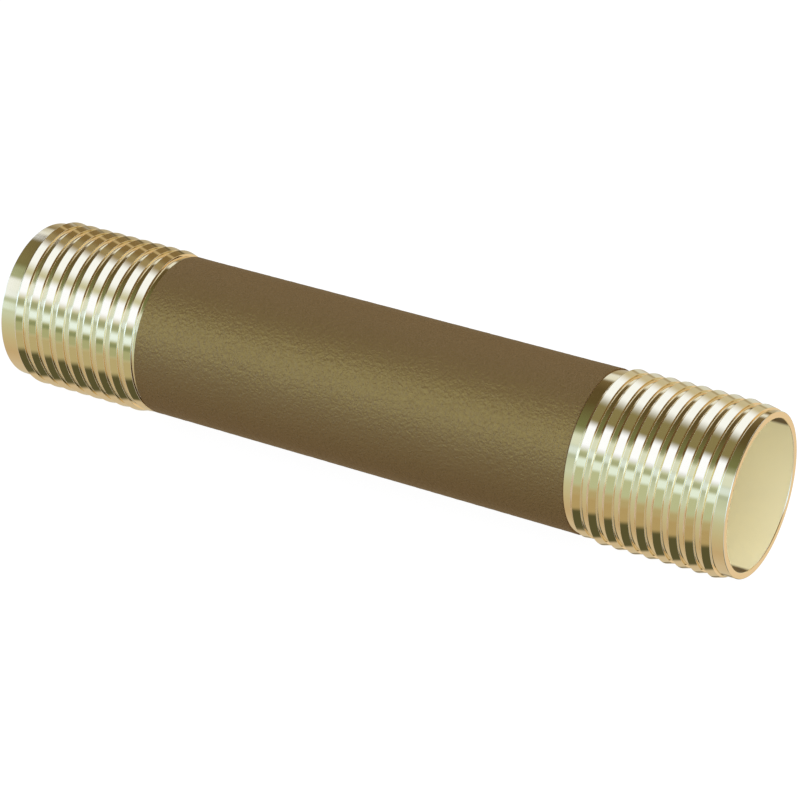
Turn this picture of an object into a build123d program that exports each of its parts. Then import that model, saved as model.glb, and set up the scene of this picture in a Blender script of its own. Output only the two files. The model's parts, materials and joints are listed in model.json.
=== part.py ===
from build123d import *
import os

# A threaded pipe nipple: a plain tubular barrel with a male thread turned on each end.
# Millimetres. The pipe's axis is X, +Z is up, and the origin is the middle of the pipe on its axis.

# ---- driving dimensions ----
overall_length = 100.0      # face to face
barrel_length = 59.4        # the unthreaded middle
barrel_diameter = 20.16
thread_diameter = 20.955    # over the crests, the major diameter of a G 1/2 pipe thread
land_diameter = 19.84       # the plain mouth, the neck and the foot of the thread
bore_diameter = 18.2        # the waterway, the same from end to end
pitch = 2.04
turns = 9
crest_width = 0.95          # the top of each thread, which falls towards +X
crest_fall = 0.28           # how much lower its +X edge is
steep_flank = 0.05          # along the axis, from the +X edge of the crest down to the land
easy_flank = 0.46           # along the axis, from the land up to the -X edge of the crest
thread_start_right = 1.42   # from the barrel's shoulder to the middle of the first thread
thread_start_left = 0.325
rim_chamfer = 0.12          # broken edges of the two mouths
edge_break = 0.06           # broken edges of the barrel

spigot_length = 8.0         # the plain tail of a threaded end, inside the barrel
spigot_diameter = 19.1
braze_gap = 0.05            # on the radius, between spigot and socket
braze_ring_length = 1.2

# ---- worked out ----
mouth_x = overall_length / 2
shoulder_x = barrel_length / 2
bore_r = bore_diameter / 2
barrel_r = barrel_diameter / 2
land_r = land_diameter / 2
crest_r = thread_diameter / 2
spigot_r = spigot_diameter / 2
socket_r = spigot_r + braze_gap
spigot_tip_x = shoulder_x - spigot_length
socket_floor_x = spigot_tip_x - braze_ring_length
thread_height = crest_r - land_r
buried = 0.10               # the depth of the thread's root below the land's surface
over = 0.50                 # how far the trimming cones run past the crests

os.makedirs("parts", exist_ok=True)


def turned_blank():
    """The threaded end before threading: mouth, land and spigot round the waterway, on the +X end."""
    with BuildPart() as blank:
        with BuildSketch(Plane.XZ):
            with BuildLine():
                Polyline(
                    (spigot_tip_x, bore_r),
                    (spigot_tip_x, spigot_r),
                    (shoulder_x, spigot_r),
                    (shoulder_x, land_r),
                    (mouth_x - rim_chamfer, land_r),
                    (mouth_x, land_r - rim_chamfer),
                    (mouth_x, bore_r + rim_chamfer),
                    (mouth_x - rim_chamfer, bore_r),
                    close=True,
                )
            make_face()
        revolve(axis=Axis.X)
    return blank.part


def thread(first_x, lean):
    """The left-hand helical ridge of the +X end, its first turn centred on first_x at the underside.

    With lean 1 the crest falls away from the barrel, and with lean -1 towards it."""
    start = Plane(origin=(first_x, 0, 0), x_dir=(0, 0, -1), z_dir=(1, 0, 0))
    low_edge = thread_height - crest_fall
    easy_foot = crest_width / 2 + easy_flank * (thread_height + buried) / thread_height
    steep_foot = crest_width / 2 + steep_flank * (low_edge + buried) / low_edge
    with BuildPart() as ridge:
        with BuildLine() as path:
            Helix(pitch=pitch, height=pitch * turns, radius=land_r, lefthand=True)
        with BuildSketch(Plane(origin=path.line @ 0, x_dir=(1, 0, 0), z_dir=path.line % 0)):
            with BuildLine():
                Polyline(
                    (-buried, -lean * easy_foot),
                    (thread_height, -lean * crest_width / 2),
                    (low_edge, lean * crest_width / 2),
                    (-buried, lean * steep_foot),
                    close=True,
                )
            make_face()
        sweep(path=path.line, is_frenet=True)
    with BuildPart() as envelope:
        with BuildSketch(Plane.XZ):
            with BuildLine():
                Polyline(
                    (shoulder_x, land_r - buried / 2),
                    (shoulder_x, land_r),
                    (shoulder_x + thread_height + over, crest_r + over),
                    (mouth_x - rim_chamfer - thread_height - over, crest_r + over),
                    (mouth_x - rim_chamfer, land_r),
                    (mouth_x - rim_chamfer, land_r - buried / 2),
                    close=True,
                )
            make_face()
        revolve(axis=Axis.X)
    return start.location * ridge.part & envelope.part


# ---- the middle tube, with a socket for a spigot in each end ----
with BuildPart() as barrel:
    with BuildSketch(Plane.XZ):
        with BuildLine():
            Polyline(
                (0, bore_r),
                (socket_floor_x, bore_r),
                (socket_floor_x, socket_r),
                (shoulder_x, socket_r),
                (shoulder_x, barrel_r - edge_break),
                (shoulder_x - edge_break, barrel_r),
                (0, barrel_r),
                close=True,
            )
        make_face()
    revolve(axis=Axis.X)
    mirror(about=Plane.YZ)
barrel.part.label = "barrel"
export_step(barrel.part, "parts/barrel.step")

# ---- the +X end: its thread leans the left-hand way ----
with BuildPart() as threaded_end_right:
    add(turned_blank())
    add(thread(shoulder_x + thread_start_right, lean=1))
threaded_end_right.part.label = "threaded_end_right"
export_step(threaded_end_right.part, "parts/threaded_end_right.step")

# ---- the -X end: a right-hand thread, started closer to the barrel; its crest too falls towards +X ----
with BuildPart() as threaded_end_left:
    add(mirror(turned_blank(), about=Plane.YZ))
    add(mirror(thread(shoulder_x + thread_start_left, lean=-1), about=Plane.YZ))
threaded_end_left.part.label = "threaded_end_left"
export_step(threaded_end_left.part, "parts/threaded_end_left.step")

# ---- a ring of brazing alloy at the bottom of each socket ----
with BuildPart() as braze_ring_right:
    with BuildSketch(Plane.YZ.offset(socket_floor_x)):
        Circle(socket_r)
        Circle(bore_r, mode=Mode.SUBTRACT)
    extrude(amount=braze_ring_length)
braze_ring_right.part.label = "braze_ring_right"
export_step(braze_ring_right.part, "parts/braze_ring_right.step")

with BuildPart() as braze_ring_left:
    add(mirror(braze_ring_right.part, about=Plane.YZ))
braze_ring_left.part.label = "braze_ring_left"
export_step(braze_ring_left.part, "parts/braze_ring_left.step")
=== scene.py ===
import json
import math

import bpy
import numpy as np
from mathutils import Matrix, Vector, noise


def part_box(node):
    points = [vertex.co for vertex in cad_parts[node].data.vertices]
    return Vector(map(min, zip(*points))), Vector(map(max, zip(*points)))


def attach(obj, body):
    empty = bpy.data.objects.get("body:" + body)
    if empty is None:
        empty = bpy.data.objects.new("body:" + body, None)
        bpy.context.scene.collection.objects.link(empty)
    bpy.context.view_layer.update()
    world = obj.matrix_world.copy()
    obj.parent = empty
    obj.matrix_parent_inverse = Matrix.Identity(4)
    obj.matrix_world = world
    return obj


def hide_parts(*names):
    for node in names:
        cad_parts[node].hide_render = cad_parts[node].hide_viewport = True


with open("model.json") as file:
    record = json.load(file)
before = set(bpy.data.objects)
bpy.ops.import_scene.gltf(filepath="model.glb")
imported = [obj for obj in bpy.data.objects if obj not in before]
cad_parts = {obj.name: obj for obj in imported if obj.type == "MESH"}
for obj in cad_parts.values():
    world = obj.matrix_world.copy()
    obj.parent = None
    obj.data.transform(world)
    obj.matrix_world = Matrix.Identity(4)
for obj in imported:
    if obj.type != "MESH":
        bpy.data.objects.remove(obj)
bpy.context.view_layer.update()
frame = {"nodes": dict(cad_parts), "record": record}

# A straight threaded pipe nipple lying along X, its middle at the origin: a brown, finely wrinkled
# barrel and two polished brass ends, and two braze rings inside that come from the frame as they are.
# Lengths are in metres. The main ones come from the frame, and those it doesn't hold, such as the
# thread's, are the CAD's own dimensions.
MM = 0.001

_, barrel_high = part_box("barrel")
end_low, end_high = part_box("threaded_end_right")
ring_low, ring_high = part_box("braze_ring_right")
mount = {m["name"]: m for m in frame["record"]["mounts"]}

SHOULDER_X = barrel_high.x          # where the barrel stops and the threaded end starts
MOUTH_X = end_high.x
SPIGOT_TIP_X = end_low.x
SOCKET_FLOOR_X = ring_low.x
BARREL_R = barrel_high.z
SOCKET_R = ring_high.z
BORE_R = mount["waterway"]["dims"]["r_mm"] * MM
CREST_R = mount["thread_right"]["dims"]["r_mm"] * MM

LAND_R = 9.92 * MM                  # the plain mouth, the neck and the root of the thread
BRAZE_GAP = 0.05 * MM               # on the radius, between spigot and socket
SPIGOT_R = SOCKET_R - BRAZE_GAP
PITCH = 2.04 * MM
CREST_HALF = 0.475 * MM             # half the width of a thread's crest
CREST_FALL = 0.28 * MM              # how much lower the crest's +X edge is
STEEP_FLANK = 0.05 * MM             # along the axis, from that edge down to the land
EASY_FLANK = 0.46 * MM              # along the axis, from the land up to the crest's -X edge
CREST_FILLET = 0.05 * MM
FOOT_FILLET = 0.07 * MM
TURNS = {"right": 8.72, "left": 9.0}
FIRST_THREAD = {"right": 1.42 * MM, "left": 0.325 * MM}   # shoulder to the first turn's middle
RUN_OUT = 0.22                      # turns over which a thread fades in and out
RIM_FILLET = 0.12 * MM
SPIGOT_FILLET = 0.08 * MM
BARREL_FILLET = 0.06 * MM

WAVE_LENGTH = 0.8 * MM              # the waves of the barrel's skin
WAVE_DEPTH = 0.035 * MM
WAVE_OCTAVES = 3

SIDES = 288                         # mesh steps round the pipe
ARC_STEPS = 5                       # mesh steps in a fillet
PLAIN_STEPS = 3                     # mesh steps along the plain neck and the plain land
WAVE_COLUMNS = 240                  # mesh points along the waved barrel
WELD = 0.2e-3 * MM                  # points closer than this become one


# ---------------------------------------------------------------- mesh helpers

class Skin:
    """Collects grids of points with their surface normals, then welds them into one closed mesh.

    finish is the number of the material that a grid gets."""

    def __init__(self):
        self.points, self.quads, self.normals, self.finish = [], [], [], []
        self.count = 0

    def grid(self, points, normals, flip=False, finish=0):
        rows, columns = points.shape[:2]
        index = np.arange(rows * columns).reshape(rows, columns)
        a, b = index[:-1, :-1].ravel(), index[1:, :-1].ravel()
        c, d = index[1:, 1:].ravel(), index[:-1, 1:].ravel()
        quads = np.stack([a, d, c, b] if flip else [a, b, c, d], axis=1)
        self.points.append(points.reshape(-1, 3))
        self.quads.append(quads + self.count)
        self.normals.append(normals.reshape(-1, 3)[quads])
        self.finish.append(np.full(len(quads), finish))
        self.count += rows * columns

    def build(self, name, materials, mirror=False):
        points = np.concatenate(self.points)
        quads = np.concatenate(self.quads)
        normals = np.concatenate(self.normals)
        finish = np.concatenate(self.finish)
        if mirror:
            points = points * (-1, 1, 1)
            normals = (normals * (-1, 1, 1))[:, ::-1]
            quads = quads[:, ::-1]
        weld = np.round(points / WELD).astype(np.int64)
        _, first, merged = np.unique(weld, axis=0, return_index=True, return_inverse=True)
        points = points[first]
        quads = merged.reshape(-1)[quads]
        faces, corner_normals, face_finish = [], [], []
        for quad, normal, slot in zip(quads.tolist(), normals.tolist(), finish.tolist()):
            # a quad whose points were welded together becomes a triangle, or nothing
            keep = [k for k in range(4) if quad[k] != quad[k - 1]]
            if len(keep) >= 3 and len({quad[k] for k in keep}) == len(keep):
                faces.append([quad[k] for k in keep])
                corner_normals.extend(normal[k] for k in keep)
                face_finish.append(slot)
        mesh = bpy.data.meshes.new(name)
        mesh.from_pydata(points.tolist(), [], faces)
        for material in materials:
            mesh.materials.append(material)
        mesh.polygons.foreach_set("material_index", face_finish)
        mesh.polygons.foreach_set("use_smooth", [True] * len(mesh.polygons))
        mesh.normals_split_custom_set(corner_normals)
        piece = bpy.data.objects.new(name, mesh)
        bpy.context.scene.collection.objects.link(piece)
        return piece


def unit(v):
    return v / np.linalg.norm(v, axis=-1, keepdims=True)


def rounded(corners):
    """An open outline of straight lines with a filleted arc at each corner but the first and last.

    corners are (x, r, fillet). Returns the outline's points and the normal at each, which is on the
    left of the direction of travel."""
    corner = [np.array(c[:2], float) for c in corners]
    points, normals = [], []

    def put(point, direction):
        points.append(point)
        normals.append((-direction[1], direction[0]))

    for k, (_, _, fillet) in enumerate(corners):
        here = corner[k]
        if k == 0:
            put(here, unit(corner[1] - here))
            continue
        if k == len(corners) - 1:
            put(here, unit(here - corner[-2]))
            continue
        arrive, leave = unit(here - corner[k - 1]), unit(corner[k + 1] - here)
        turn = math.acos(max(-1, min(1, float(arrive @ leave))))
        reach = fillet * math.tan(turn / 2)
        side = 1 if arrive[0] * leave[1] - arrive[1] * leave[0] > 0 else -1
        start = here - arrive * reach
        centre = start + side * fillet * np.array((-arrive[1], arrive[0]))
        spoke = start - centre
        for n in range(ARC_STEPS + 1):
            angle = side * turn * n / ARC_STEPS
            c, s = math.cos(angle), math.sin(angle)
            point = centre + np.array((c * spoke[0] - s * spoke[1], s * spoke[0] + c * spoke[1]))
            direction = np.array((c * arrive[0] - s * arrive[1], s * arrive[0] + c * arrive[1]))
            put(point, direction)
    return np.array(points), np.array(normals)


def lathe(skin, outline, normals, finish=0):
    """Turns an outline of (x, r) points round the pipe's axis."""
    angle = 2 * math.pi * np.arange(SIDES + 1) / SIDES
    c, s = np.cos(angle)[:, None], np.sin(angle)[:, None]

    def turned(pairs):
        along = np.broadcast_to(pairs[:, 0], (SIDES + 1, len(pairs)))
        return np.stack([along, pairs[:, 1] * c, pairs[:, 1] * s], axis=-1)

    skin.grid(turned(outline), turned(normals), finish=finish)


# ---------------------------------------------------------------- threaded ends

def thread_profile(lean):
    """Offsets across one pitch, root to root, and the thread's height and slope at each of them.

    With lean 1 the crest falls away from the barrel, and with lean -1 towards it. Both ends are
    made on +X, so the left one needs -1 to fall towards +X once it is mirrored."""
    height = CREST_R - LAND_R
    outline, normals = rounded([
        (-PITCH / 2, 0, 0),
        (-CREST_HALF - EASY_FLANK, 0, FOOT_FILLET),
        (-CREST_HALF, height, CREST_FILLET),
        (CREST_HALF, height - CREST_FALL, CREST_FILLET),
        (CREST_HALF + STEEP_FLANK, 0, FOOT_FILLET),
        (PITCH / 2, 0, 0),
    ])
    slopes = -normals[:, 0] / normals[:, 1]
    return lean * outline[::lean, 0], outline[::lean, 1], lean * slopes[::lean]


def threaded_surface(turn, x, limits, first_x, turns, profile):
    """Points and normals of the outside of the threaded end at a grid of turn and x.

    turn is the number of turns round from the underside. x is kept within limits, which are the
    shoulder and the start of the mouth's rim."""
    x = np.clip(x, *limits)
    along = np.round((x - first_x) / PITCH - turn) + turn
    across = x - first_x - PITCH * along
    # the thread fades in over its first part of a turn and out over its last
    fade_in, fade_out = np.clip(along / RUN_OUT, 0, 1), np.clip((turns - along) / RUN_OUT, 0, 1)
    near = np.minimum(fade_in, fade_out)
    fade = near * near * (3 - 2 * near)
    fading = 6 * near * (1 - near) / RUN_OUT * np.sign(fade_out - fade_in)
    offsets, heights, slopes = profile
    height = np.interp(across, offsets, heights)
    r = LAND_R + height * fade
    by_x = np.interp(across, offsets, slopes) * fade
    by_angle = (height * fading - PITCH * by_x) / (2 * math.pi * r)
    angle = -math.pi / 2 - 2 * math.pi * turn
    c, s = np.cos(angle), np.sin(angle)
    points = np.stack([x, r * c, r * s], axis=-1)
    # the angle falls as the turn grows, so the slope round the pipe changes sign
    normals = np.stack([-by_x, c - by_angle * s, s + by_angle * c], axis=-1)
    return points, unit(normals)


def threaded_end(side, materials):
    """One turned brass end, made on +X and mirrored for the -X side."""
    profile = thread_profile(lean=1 if side == "right" else -1)
    offsets = profile[0]
    first_x = SHOULDER_X + FIRST_THREAD[side]
    turns = round(TURNS[side] * SIDES) / SIDES
    rim_x = MOUTH_X - RIM_FILLET
    limits = (SHOULDER_X, rim_x)
    args = (limits, first_x, turns, profile)
    skin = Skin()

    # the threaded strip itself, one pitch wide, wound round the pipe
    turn = (np.arange(round(turns * SIDES) + 1) / SIDES)[:, None]
    points, normals = threaded_surface(turn, first_x + PITCH * turn + offsets[None, :], *args)
    skin.grid(points, normals, flip=True)

    # the neck, up to the strip's lower edge, and the land, from its upper edge to the mouth
    part_turn = (np.arange(SIDES + 1) / SIDES)[:, None]
    opening = (offsets + PITCH / 2)[None, :] * part_turn
    start_x = first_x - PITCH / 2
    plain = np.linspace(SHOULDER_X, max(start_x, SHOULDER_X), PLAIN_STEPS + 1)[None, :-1]
    neck = np.concatenate([plain + 0 * part_turn, start_x + opening], axis=1)
    points, normals = threaded_surface(part_turn + 0 * neck, neck, *args)
    skin.grid(points, normals, flip=True)

    last_turn = turns - 1 + part_turn
    strip_edge = first_x + PITCH * last_turn + PITCH / 2
    closing = strip_edge + (offsets + PITCH / 2)[None, :] * (1 - part_turn)
    stop_x = first_x + PITCH * turns + PITCH / 2
    plain = np.linspace(min(stop_x, rim_x), rim_x, PLAIN_STEPS + 1)[None, 1:]
    land = np.concatenate([closing, plain + 0 * part_turn], axis=1)
    points, normals = threaded_surface(last_turn + 0 * land, land, *args)
    skin.grid(points, normals, flip=True)

    # the shoulder's face
    points, _ = threaded_surface(part_turn, np.full((SIDES + 1, 1), SHOULDER_X), *args)
    angle = -math.pi / 2 - 2 * math.pi * part_turn
    at_shoulder = np.full_like(angle, SHOULDER_X)
    inner = np.stack([at_shoulder, SPIGOT_R * np.cos(angle), SPIGOT_R * np.sin(angle)], axis=-1)
    face = np.concatenate([inner, points], axis=1)
    skin.grid(face, np.broadcast_to((-1.0, 0, 0), face.shape), flip=True)

    # the mouth's rim, the waterway's wall, and the spigot's end and side
    outline, normals = rounded([
        (rim_x, LAND_R, 0),
        (MOUTH_X, LAND_R, RIM_FILLET),
        (MOUTH_X, BORE_R, RIM_FILLET),
        (SPIGOT_TIP_X, BORE_R, SPIGOT_FILLET),
        (SPIGOT_TIP_X, SPIGOT_R, SPIGOT_FILLET),
        (SHOULDER_X, SPIGOT_R, 0),
    ])
    wall = 2 * (ARC_STEPS + 1)      # the outline's last point before the waterway's wall
    lathe(skin, outline[1:wall + 1], normals[1:wall + 1])
    lathe(skin, outline[wall:wall + 2], normals[wall:wall + 2], finish=1)
    lathe(skin, outline[wall + 1:], normals[wall + 1:])
    return skin.build("brass_end_" + side, materials, mirror=side == "left")


# ---------------------------------------------------------------- barrel

def barrel_tube(materials):
    """The barrel, with the leathery waves of its skin in the mesh.

    The finest wrinkle is in its material."""
    skin = Skin()
    outline, normals = rounded([
        (-SHOULDER_X, SOCKET_R, 0),
        (-SHOULDER_X, BARREL_R, BARREL_FILLET),
        (SHOULDER_X, BARREL_R, BARREL_FILLET),
        (SHOULDER_X, SOCKET_R, BARREL_FILLET),
        (SOCKET_FLOOR_X, SOCKET_R, BARREL_FILLET),
        (SOCKET_FLOOR_X, BORE_R, BARREL_FILLET),
        (-SOCKET_FLOOR_X, BORE_R, BARREL_FILLET),
        (-SOCKET_FLOOR_X, SOCKET_R, BARREL_FILLET),
        (-SHOULDER_X, SOCKET_R, 0),
    ])
    outer = ARC_STEPS + 2           # the outline's first point past the long outer side
    lathe(skin, outline[:outer], normals[:outer])
    lathe(skin, outline[outer:], normals[outer:])

    # the outer side: waves that only cut inwards and fade out at both ends
    x = np.linspace(outline[outer - 1, 0], outline[outer, 0], WAVE_COLUMNS)[None, :]
    angle = (2 * math.pi * np.arange(SIDES + 1) / SIDES)[:, None]

    def around(radius):
        return np.stack(np.broadcast_arrays(x, radius * np.cos(angle), radius * np.sin(angle)), axis=-1)

    smooth = around(BARREL_R)
    # each octave of the noise is half as high as the one before, and twice as fine
    waves = np.array([noise.fractal(Vector(p) / WAVE_LENGTH, 1.0, 2.0, WAVE_OCTAVES)
                      for p in smooth.reshape(-1, 3)])
    depth = np.clip(0.5 + 0.5 * waves.reshape(smooth.shape[:2]), 0, 1)
    fade = np.clip((SHOULDER_X - np.abs(x)) / WAVE_LENGTH - 0.5, 0, 1)
    points = around(BARREL_R - WAVE_DEPTH * fade * depth)
    wrapped = np.concatenate([points[-2:-1], points, points[1:2]])
    skin.grid(points, unit(np.cross(wrapped[2:] - wrapped[:-2], np.gradient(points, axis=1))))
    return skin.build("barrel_tube", materials)


# ---------------------------------------------------------------- node helpers

class Graph:
    """Adds shader nodes to one node tree. Inputs are numbers, colours or other nodes' outputs."""

    def __init__(self, tree):
        self.tree = tree

    def feed(self, node, inputs):
        for key, value in inputs.items():
            if isinstance(value, bpy.types.NodeSocket):
                self.tree.links.new(value, node.inputs[key])
            else:
                node.inputs[key].default_value = value

    def node(self, kind, inputs=None, **settings):
        made = self.tree.nodes.new(kind)
        for key, value in settings.items():
            setattr(made, key, value)
        self.feed(made, inputs or {})
        return made

    def place(self):
        """The point's place in the object, in metres."""
        return self.node("ShaderNodeTexCoord").outputs["Object"]

    def math(self, operation, a, b=0.0):
        return self.node("ShaderNodeMath", {0: a, 1: b}, operation=operation).outputs[0]

    def noise(self, place, scale, detail, distortion=0.0):
        inputs = {"Vector": place, "Scale": scale, "Detail": detail, "Distortion": distortion}
        return self.node("ShaderNodeTexNoise", inputs).outputs["Fac"]

    def bump(self, height, strength, distance):
        inputs = {"Height": height, "Strength": strength, "Distance": distance}
        return self.node("ShaderNodeBump", inputs).outputs[0]

    def ease(self, value, low, high):
        """0 below low, 1 above high, smooth between."""
        made = self.node("ShaderNodeMapRange", {"Value": value, "From Min": low, "From Max": high},
                         interpolation_type="SMOOTHSTEP")
        return made.outputs["Result"]

    def mix(self, factor, a, b):
        """Mixes two colours, each an (r, g, b) or a node's output."""
        a, b = (value if isinstance(value, bpy.types.NodeSocket) else (*value, 1) for value in (a, b))
        # inputs 6 and 7 and output 2 are the ones that a colour mix uses
        return self.node("ShaderNodeMix", {0: factor, 6: a, 7: b}, data_type="RGBA").outputs[2]

    def ramp(self, value, stops):
        made = self.node("ShaderNodeValToRGB", {"Fac": value})
        elements = made.color_ramp.elements
        while len(elements) < len(stops):
            elements.new(0.5)
        for element, (place, color) in zip(elements, stops):
            element.position = place
            element.color = (*color, 1)
        return made.outputs["Color"]


# ---------------------------------------------------------------- materials

def principled(name):
    """A new material, the graph of its nodes and its shader."""
    material = bpy.data.materials.new(name)
    material.use_nodes = True
    return material, Graph(material.node_tree), material.node_tree.nodes["Principled BSDF"]


def polished_brass():
    """Bright turned brass: hair-fine turning marks round the pipe and a faint uneven polish."""
    m, g, shader = principled("polished_brass")
    place = g.place()
    stretched = g.node("ShaderNodeMapping", {"Vector": place, "Scale": (9000, 60, 60)})
    marks = g.noise(stretched.outputs[0], scale=1.0, detail=2.0)
    cloud = g.noise(place, scale=220.0, detail=3.0)
    rough = g.node("ShaderNodeMapRange", {
        "Value": cloud, "From Min": 0.3, "From Max": 0.7, "To Min": 0.045, "To Max": 0.075})
    g.feed(shader, {
        "Base Color": g.mix(cloud, (0.85, 0.69, 0.39), (0.87, 0.71, 0.41)),
        "Normal": g.bump(marks, strength=0.02, distance=0.02 * MM),
        "Roughness": rough.outputs[0],
        "Metallic": 1.0,
    })
    return m


def bore_brass_painted_reflection():
    """The waterway's wall: drawn brass, pale and satin, with a painted dark reflection in its colour
    where it is seen edge-on.
    """
    m, g, shader = principled("bore_brass_painted_reflection")
    place = g.place()
    cloud = g.noise(place, scale=300.0, detail=3.0)
    # the dark colour is a painted dark reflection of the surroundings, not the brass's own colour
    pale, painted_dark_reflection = g.mix(cloud, (0.82, 0.75, 0.48), (0.85, 0.78, 0.50)), (0.12, 0.075, 0.025)
    painted_reflection_facing = g.node("ShaderNodeLayerWeight", {"Blend": 0.5}).outputs["Facing"]
    g.feed(shader, {
        # where the wall is seen edge-on, its colour turns to the painted dark reflection
        "Base Color": g.mix(g.ease(painted_reflection_facing, 0.62, 0.72), pale, painted_dark_reflection),
        "Roughness": 0.5,
        "Metallic": 0.1,
    })
    return m


def wrinkled_bronze():
    """The barrel's brown finish: a fine leathery wrinkle under a satin sheen."""
    m, g, shader = principled("wrinkled_bronze")
    place = g.place()
    cells = g.node("ShaderNodeTexVoronoi", {"Vector": place, "Scale": 2600.0, "Smoothness": 0.6},
                   feature="SMOOTH_F1")
    grain = g.noise(place, scale=2300.0, detail=3.0, distortion=1.2)
    height = g.math("ADD", g.math("MULTIPLY", cells.outputs["Distance"], 0.5), grain)
    patch = g.noise(place, scale=90.0, detail=4.0)
    g.feed(shader, {
        "Base Color": g.mix(patch, (0.169, 0.106, 0.047), (0.183, 0.116, 0.053)),
        "Normal": g.bump(height, strength=1.0, distance=0.1 * MM),
        "Roughness": 0.40,
        "Metallic": 0.5,
        "Specular IOR Level": 0.1,
        "Specular Tint": (0.85, 0.66, 0.42, 1),
    })
    return m


def braze_alloy():
    """Brazing alloy as it flowed: pale and gently rippled."""
    m, g, shader = principled("braze_alloy")
    place = g.place()
    ripple = g.noise(place, scale=900.0, detail=2.0)
    g.feed(shader, {
        "Base Color": g.mix(ripple, (0.74, 0.62, 0.38), (0.82, 0.70, 0.45)),
        "Normal": g.bump(ripple, strength=0.3, distance=0.05 * MM),
        "Roughness": 0.28,
        "Metallic": 1.0,
    })
    return m


# ---------------------------------------------------------------- pieces

brass, bore, bronze, alloy = polished_brass(), bore_brass_painted_reflection(), wrinkled_bronze(), braze_alloy()
for side in ("right", "left"):
    piece = threaded_end(side, [brass, bore])
    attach(piece, "root")
    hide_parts("threaded_end_" + side)
    ring = frame["nodes"]["braze_ring_" + side]
    ring.data.materials.clear()
    ring.data.materials.append(alloy)
barrel = barrel_tube([bronze])
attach(barrel, "root")
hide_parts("barrel")


# ---------------------------------------------------------------- studio

def pale_floor():
    """A plain floor under the threads. It glows almost white, and neither the brass nor the
    barrel sees it, so that the world alone lights and colours them."""
    reach, z = 3.0, -CREST_R
    mesh = bpy.data.meshes.new("floor")
    mesh.from_pydata([(-reach, -reach, z), (reach, -reach, z), (reach, reach, z), (-reach, reach, z)],
                     [], [(0, 1, 2, 3)])
    m, g, shader = principled("pale_floor")
    g.feed(shader, {
        "Base Color": (0.06, 0.06, 0.06, 1),
        "Roughness": 0.9,
        "Emission Color": (1, 1, 1, 1),
        "Emission Strength": 0.97,
    })
    mesh.materials.append(m)
    floor = bpy.data.objects.new("floor", mesh)
    bpy.context.scene.collection.objects.link(floor)
    floor.visible_glossy = False
    floor.visible_diffuse = False


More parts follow.
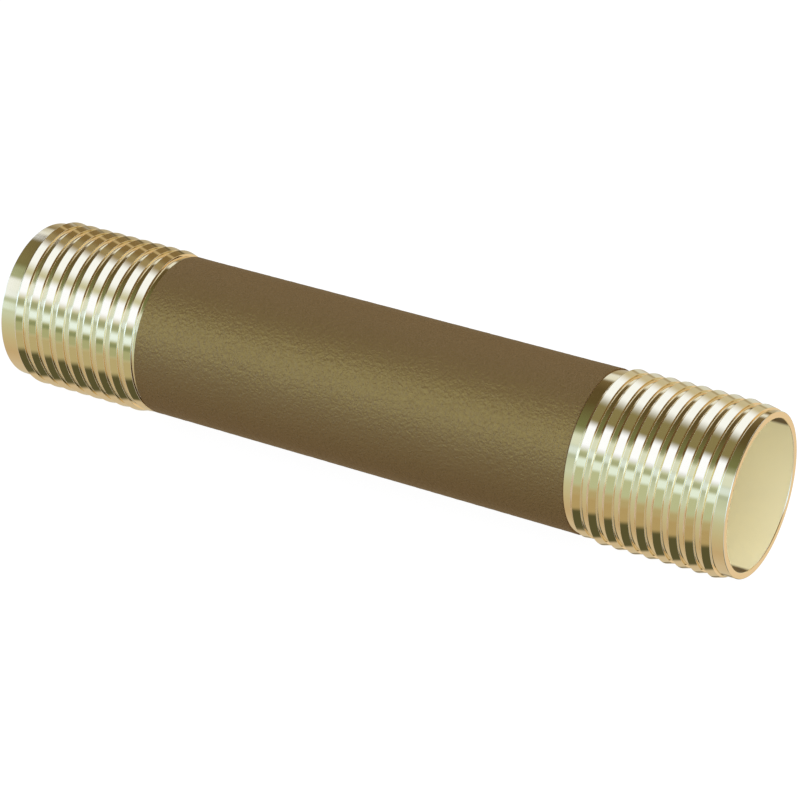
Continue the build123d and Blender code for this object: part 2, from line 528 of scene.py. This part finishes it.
def studio_world():
    """The studio, as the brass reflects it and as it lights the matt surfaces.

    A place in it is an angle round the pipe's axis in degrees, 0 level behind the pipe, 90 overhead,
    180 level in front and 270 underneath, and a lean along the pipe from -1 to 1. The lamps and the
    dark cards hang in rows across the pipe, set out so that the photo's camera sees each row in a
    different face of the thread."""
    world = bpy.data.worlds.new("studio")
    bpy.context.scene.world = world
    world.use_nodes = True
    g = Graph(world.node_tree)
    direction = g.node("ShaderNodeTexCoord").outputs["Generated"]
    lean, across, up = g.node("ShaderNodeSeparateXYZ", {"Vector": direction}).outputs[:3]
    seam = 60                       # the angles run from -seam to 360 - seam
    turned = g.math("MULTIPLY", g.math("ARCTAN2", up, across), 180 / math.pi)
    angle = g.math("SUBTRACT", g.math("FLOORED_MODULO", g.math("ADD", turned, seam), 360), seam)

    # the rows are bent: bow is the lean at which one crosses the top front, where it is furthest
    # along +X, and drift is how far it has moved back from there
    bow_middle, bow_pace, bend = 148, 0.82, 0.22
    swing = g.math("MULTIPLY", g.math("SUBTRACT", angle, bow_middle), bow_pace * math.pi / 180)
    drift = g.math("MULTIPLY", g.math("SUBTRACT", 1, g.math("COSINE", swing)), bend)
    bow = g.math("ADD", lean, drift)

    def inverse(mask):
        return g.math("SUBTRACT", 1, mask)

    # four rows and a far one: the first is the furthest along +X, and the last two are straight
    beyond_first = inverse(g.ease(bow, 0.05, 0.10))
    beyond_second = inverse(g.ease(bow, -0.07, -0.04))
    fourth = inverse(g.ease(lean, -0.556, -0.548))
    first = inverse(beyond_first)
    second = g.math("MULTIPLY", beyond_first, inverse(beyond_second))
    third = g.math("MULTIPLY", beyond_second, inverse(fourth))
    far = inverse(g.ease(lean, -0.70, -0.62))

    def panel(base, where, color, low, high, soft):
        """Hangs a lamp or a dark card between two angles, in one of the rows."""
        rise = g.ease(g.math("SUBTRACT", angle, low), -soft / 2, soft / 2)
        fall = g.ease(g.math("SUBTRACT", high, angle), -soft / 2, soft / 2)
        return g.mix(g.math("MULTIPLY", g.math("MULTIPLY", rise, fall), where), base, color)

    def at(degrees):
        return (degrees + seam) / 360

    # the room: tan floor below, brown ceiling, pale wall in front
    studio = g.ramp(g.math("DIVIDE", g.math("ADD", angle, seam), 360), [
        (at(-60), (0.66, 0.60, 0.48)), (at(5), (0.48, 0.44, 0.34)), (at(30), (0.22, 0.18, 0.11)),
        (at(60), (0.12, 0.095, 0.05)), (at(85), (0.12, 0.10, 0.05)), (at(122), (0.20, 0.25, 0.14)),
        (at(134), (0.50, 0.62, 0.60)), (at(160), (0.55, 0.72, 0.75)), (at(185), (0.66, 0.84, 0.92)),
        (at(202), (0.62, 0.70, 0.64)), (at(225), (0.62, 0.60, 0.49)), (at(248), (0.61, 0.52, 0.41)),
        (at(275), (0.68, 0.61, 0.53)), (at(300), (0.67, 0.60, 0.48)),
    ])
    ceiling, shade = (0.27, 0.265, 0.165), (0.11, 0.115, 0.068)
    white, strip, tube = (1.10, 1.34, 2.10), (1.16, 1.42, 2.40), (0.88, 1.18, 1.60)
    # the big soft box slants in the third row: this is its upper edge
    box_edge = g.math("MINIMUM", 46, g.math("SUBTRACT", -42, g.math("MULTIPLY", lean, 200)))
    for where, color, low, high, soft in (
        # the ceiling and the wall in front, row by row
        (first, (0.20, 0.17, 0.11), -54, -47, 5),
        (first, (0.72, 0.78, 0.80), -16, 6, 6),
        (first, (0.64, 0.64, 0.58), 12, 50, 6),
        (first, ceiling, 50, 150, 12),
        (first, (0.55, 0.69, 0.62), 150, 199, 8),
        (first, (0.52, 0.50, 0.36), 199, 211, 10),
        (first, (0.51, 0.44, 0.29), 209, 250, 10),
        (second, (0.16, 0.135, 0.08), 6, 13, 5),
        (second, (0.25, 0.19, 0.10), 13, 52, 6),
        (second, (0.58, 0.50, 0.36), 31, 36, 4),
        (second, (0.36, 0.32, 0.22), 52, 80, 12),
        (second, (0.66, 0.75, 0.75), 80, 158, 10),
        (second, (0.45, 0.54, 0.42), 178, 199, 6),
        (second, (0.54, 0.53, 0.395), 199, 240, 8),
        (third, (0.80, 1.00, 1.22), 133, 150, 8),
        (fourth, ceiling, 30, 112, 30),
        (fourth, (0.50, 0.63, 0.57), 112, 130, 12),
        # the dark edge of the table, below
        (first, shade, 233.5, 281, 9),
        (second, shade, 224.5, 269, 10),
        # the big soft box behind
        (first, white, 36, 83, 22),
        (second, white, 73, 112, 18),
        (third, (0.90, 1.02, 1.25), g.math("SUBTRACT", box_edge, 20), box_edge, 10),
        (fourth, white, 36, 59, 12),
        # the long strip lamp in front, and the gap beside it
        (first, strip, 118.5, 151, 12),
        (first, (0.44, 0.56, 0.50), 156, 162, 5),
        (second, strip, 126, 151, 12),
        (second, (0.40, 0.50, 0.43), 156, 164, 6),
        (fourth, white, 131, 160, 8),
        # the thin tube lamp below them
        (first, tube, 163, 174, 6),
        (second, (0.95, 1.27, 1.85), 167, 177, 7),
        (second, (0.29, 0.38, 0.27), 180.5, 186, 4),
        (third, (0.80, 1.06, 1.50), 150, 161, 8),
        (third, (0.52, 0.68, 0.75), 162, 167, 4),
        (fourth, tube, 168, 179, 6),
        # far to the left
        (far, (0.72, 0.88, 1.40), -80, 10, 10),
        (far, (0.15, 0.12, 0.10), 10, 120, 20),
        (far, (0.78, 0.82, 1.25), 200, 320, 10),
        (far, (0.92, 1.35, 2.3), 120, 200, 20),
        (far, (1.3, 2.0, 4.0), 152, 174, 8),
    ):
        studio = panel(studio, where, color, low, high, soft)

    # to the right of the pipe: dark overhead, bright in front, plain below and behind
    right = (0.88, 0.75, 0.62)
    for color, low, high, soft in (
        ((0.20, 0.17, 0.12), 35, 130, 20),
        ((1.0, 1.5, 2.7), 130, 198, 14),
        ((1.2, 1.9, 3.8), 152, 166, 8),
        ((0.70, 0.77, 1.02), 198, 290, 14),
    ):
        right = panel(right, 1.0, color, low, high, soft)
    studio = g.mix(g.ease(lean, 0.21, 0.30), studio, right)

    # what lights the matt surfaces: bright overhead and beyond the right end, dimmer underneath
    overhead = g.math("MULTIPLY", g.ease(up, -0.5, 0.5), 0.88)
    beyond_end = g.math("MULTIPLY", g.ease(lean, 0.2, 0.7), 1.4)
    lit = g.math("ADD", g.math("ADD", overhead, 0.20), beyond_end)
    lit = g.node("ShaderNodeCombineXYZ", {"X": lit, "Y": lit, "Z": lit}).outputs[0]

    path = g.node("ShaderNodeLightPath").outputs
    shown = g.mix(path["Is Diffuse Ray"], (1.0, 1.0, 1.0), lit)
    shown = g.mix(path["Is Glossy Ray"], shown, studio)
    g.tree.links.new(shown, world.node_tree.nodes["Background"].inputs["Color"])


def sheen_lamp(receiver):
    """A broad lamp over the front that only the receiver catches, for the sheen on its wrinkles."""
    lamp = bpy.data.lights.new("sheen", "SUN")
    lamp.energy = 1.15
    lamp.color = (0.68, 1.0, 0.48)
    lamp.angle = math.radians(50)
    sheen = bpy.data.objects.new("sheen", lamp)
    sheen.rotation_euler = Vector((-0.44, -0.74, 0.50)).to_track_quat("Z", "Y").to_euler()
    bpy.context.scene.collection.objects.link(sheen)
    receivers = bpy.data.collections.new("only_barrel")
    receivers.objects.link(receiver)
    sheen.light_linking.receiver_collection = receivers


def photo_camera():
    """The photo's camera: in front, above and to the right, with a long lens."""
    lens = bpy.data.cameras.new("camera")
    lens.lens = 142.08
    lens.sensor_width = 36
    lens.clip_start = 0.01
    camera = bpy.data.objects.new("camera", lens)
    camera.location = Vector((172.00588, -290.1807, 179.81244)) * MM
    azimuth, elevation = math.radians(30.3207), math.radians(28.2139)
    level = math.cos(elevation)
    back = Vector((math.sin(azimuth) * level, -math.cos(azimuth) * level, math.sin(elevation)))
    camera.rotation_euler = (-back).to_track_quat("-Z", "Y").to_euler()
    bpy.context.scene.collection.objects.link(camera)
    bpy.context.scene.camera = camera
    bpy.context.scene.view_settings.view_transform = "Standard"


pale_floor()
studio_world()
sheen_lamp(barrel)
photo_camera()
